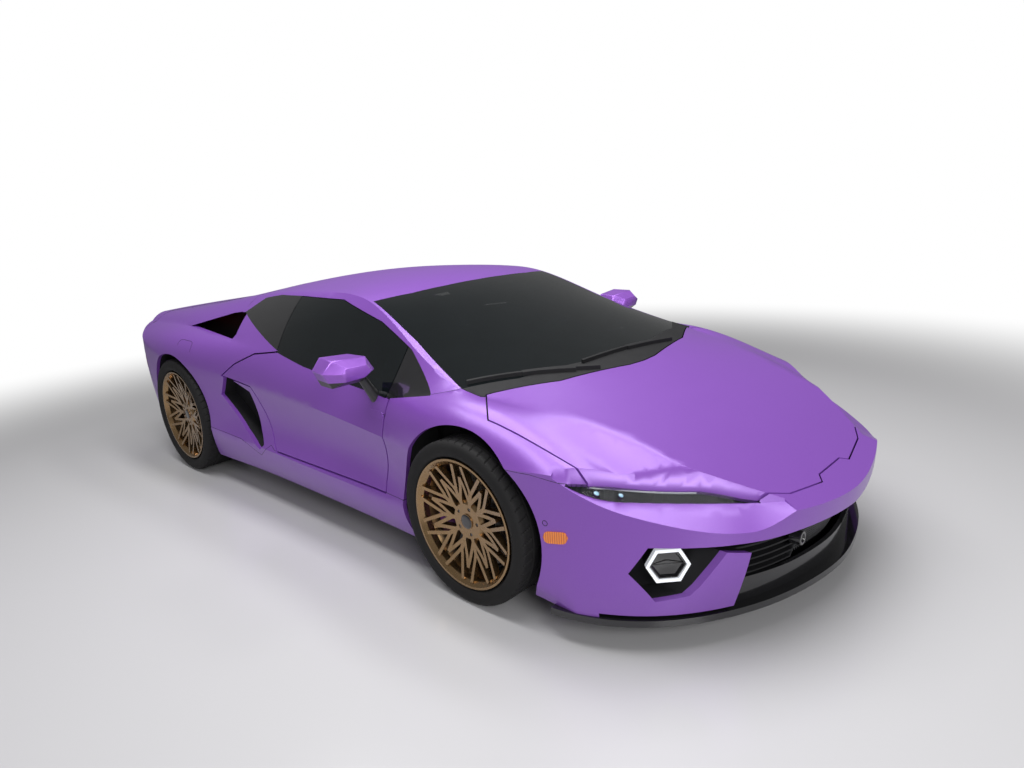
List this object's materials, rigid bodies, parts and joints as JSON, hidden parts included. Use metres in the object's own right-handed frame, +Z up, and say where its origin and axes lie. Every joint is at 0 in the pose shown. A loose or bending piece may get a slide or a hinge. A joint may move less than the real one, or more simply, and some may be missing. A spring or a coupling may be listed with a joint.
{
  "type": "mid-engine two-seat supercar",
  "caption": "Low two-seat mid-engine supercar with turning wheels, steering, hinged doors, front lid and engine lid.",
  "frame": {"origin": "on the ground, midway between nose and tail and between the sides", "axes": "+X forwards, +Y to the left, +Z up"},
  "size_m": [4.7084, 2.2546, 1.2034],
  "materials": {
    "paint": "satin",
    "black_gloss": "gloss",
    "black_plastic": "matt",
    "dark_glass": "polished",
    "clear_lens": "polished",
    "lamp_white": "gloss",
    "lamp_red": "gloss",
    "bronze": "satin",
    "tyre": "matt",
    "disc_steel": "brushed",
    "caliper_paint": "gloss",
    "cast_metal": "cast",
    "chassis": "satin",
    "engine": "cast",
    "seat_leather": "grained",
    "cabin_trim": "grained",
    "exhaust_steel": "brushed"
  },
  "bodies": {
    "car_body": {"centre_console": "cabin_trim", "chassis_tub": "chassis", "cowl": "black_plastic", "dashboard": "cabin_trim", "day_lamps": "lamp_white", "door_hinges": "chassis", "engine_block": "engine", "exhaust_tips": "exhaust_steel", "fixed_side_glass": "black_gloss", "front_bumper": "paint", "front_fenders": "paint", "front_grille": "black_plastic", "front_subframe": "chassis", "front_suspension": "cast_metal", "headlamp_housings": "black_gloss", "headlamp_lenses": "clear_lens", "rear_bumper": "paint", "rear_calipers": "caliper_paint", "rear_diffuser": "black_gloss", "rear_grille": "black_plastic", "rear_quarters": "paint", "rear_subframe": "chassis", "rear_suspension": "cast_metal", "rear_uprights": "cast_metal", "roof": "paint", "seats": "seat_leather", "side_ducts": "black_plastic", "side_sills": "paint", "splitter": "black_gloss", "tail_lamps": "lamp_red", "undertray": "black_plastic", "wheel_arch_liners": "black_plastic", "windscreen": "dark_glass", "wipers": "black_plastic"},
    "front_lid": {"front_lid": "paint"},
    "engine_lid": {"engine_lid": "paint", "engine_louvres": "black_gloss"},
    "door_left": {"door_left": "paint", "door_glass_left": "dark_glass", "mirror_left": "paint"},
    "door_right": {"door_right": "paint", "door_glass_right": "dark_glass", "mirror_right": "paint"},
    "steering_wheel": {"steering_wheel": "cabin_trim"},
    "knuckle_left": {"front_upright_left": "cast_metal", "front_caliper_left": "caliper_paint"},
    "front_wheel_left": {"front_tyre_left": "tyre", "front_rim_left": "bronze", "front_brake_disc_left": "disc_steel"},
    "rear_wheel_left": {"rear_tyre_left": "tyre", "rear_rim_left": "bronze", "rear_brake_disc_left": "disc_steel"},
    "knuckle_right": {"front_upright_right": "cast_metal", "front_caliper_right": "caliper_paint"},
    "front_wheel_right": {"front_tyre_right": "tyre", "front_rim_right": "bronze", "front_brake_disc_right": "disc_steel"},
    "rear_wheel_right": {"rear_tyre_right": "tyre", "rear_rim_right": "bronze", "rear_brake_disc_right": "disc_steel"}
  },
  "joints": [
    {"name": "steer_left", "type": "hinge", "parent": "car_body", "child": "knuckle_left", "pos_m": [1.183, 0.773, 0.343], "axis": [0, 0, 1], "range_deg": [-32, 32]},
    {"name": "front_spin_left", "type": "hinge", "parent": "knuckle_left", "child": "front_wheel_left", "pos_m": [1.183, 0.861, 0.343], "axis": [0, 1, 0], "continuous": true},
    {"name": "rear_spin_left", "type": "hinge", "parent": "car_body", "child": "rear_wheel_left", "pos_m": [-1.475, 0.835, 0.364], "axis": [0, 1, 0], "continuous": true},
    {"name": "steer_right", "type": "hinge", "parent": "car_body", "child": "knuckle_right", "pos_m": [1.183, -0.773, 0.343], "axis": [0, 0, 1], "range_deg": [-32, 32]},
    {"name": "front_spin_right", "type": "hinge", "parent": "knuckle_right", "child": "front_wheel_right", "pos_m": [1.183, -0.861, 0.343], "axis": [0, 1, 0], "continuous": true},
    {"name": "rear_spin_right", "type": "hinge", "parent": "car_body", "child": "rear_wheel_right", "pos_m": [-1.475, -0.835, 0.364], "axis": [0, 1, 0], "continuous": true},
    {"name": "door_left_hinge", "type": "hinge", "parent": "car_body", "child": "door_left", "pos_m": [0.56, 0.95, 0.335], "axis": [0, 0.1392, -0.9903], "range_deg": [0, 60]},
    {"name": "door_right_hinge", "type": "hinge", "parent": "car_body", "child": "door_right", "pos_m": [0.56, -0.95, 0.335], "axis": [0, 0.1392, 0.9903], "range_deg": [0, 60]},
    {"name": "front_lid_hinge", "type": "hinge", "parent": "car_body", "child": "front_lid", "pos_m": [1.15, 0, 0.825], "axis": [0, -1, 0], "range_deg": [0, 50]},
    {"name": "engine_lid_hinge", "type": "hinge", "parent": "car_body", "child": "engine_lid", "pos_m": [-0.955, 0, 1.14], "axis": [0, 1, 0], "range_deg": [0, 45]},
    {"name": "steering_wheel_turn", "type": "hinge", "parent": "car_body", "child": "steering_wheel", "pos_m": [0.455, 0.385, 0.665], "axis": [-0.9348, 0, 0.3552], "range_deg": [-416, 416]}
  ],
  "couplings": [
    {"joint": "steer_right", "follows": "steer_left", "ratio": 1},
    {"joint": "steering_wheel_turn", "follows": "steer_left", "ratio": 13}
  ]
}
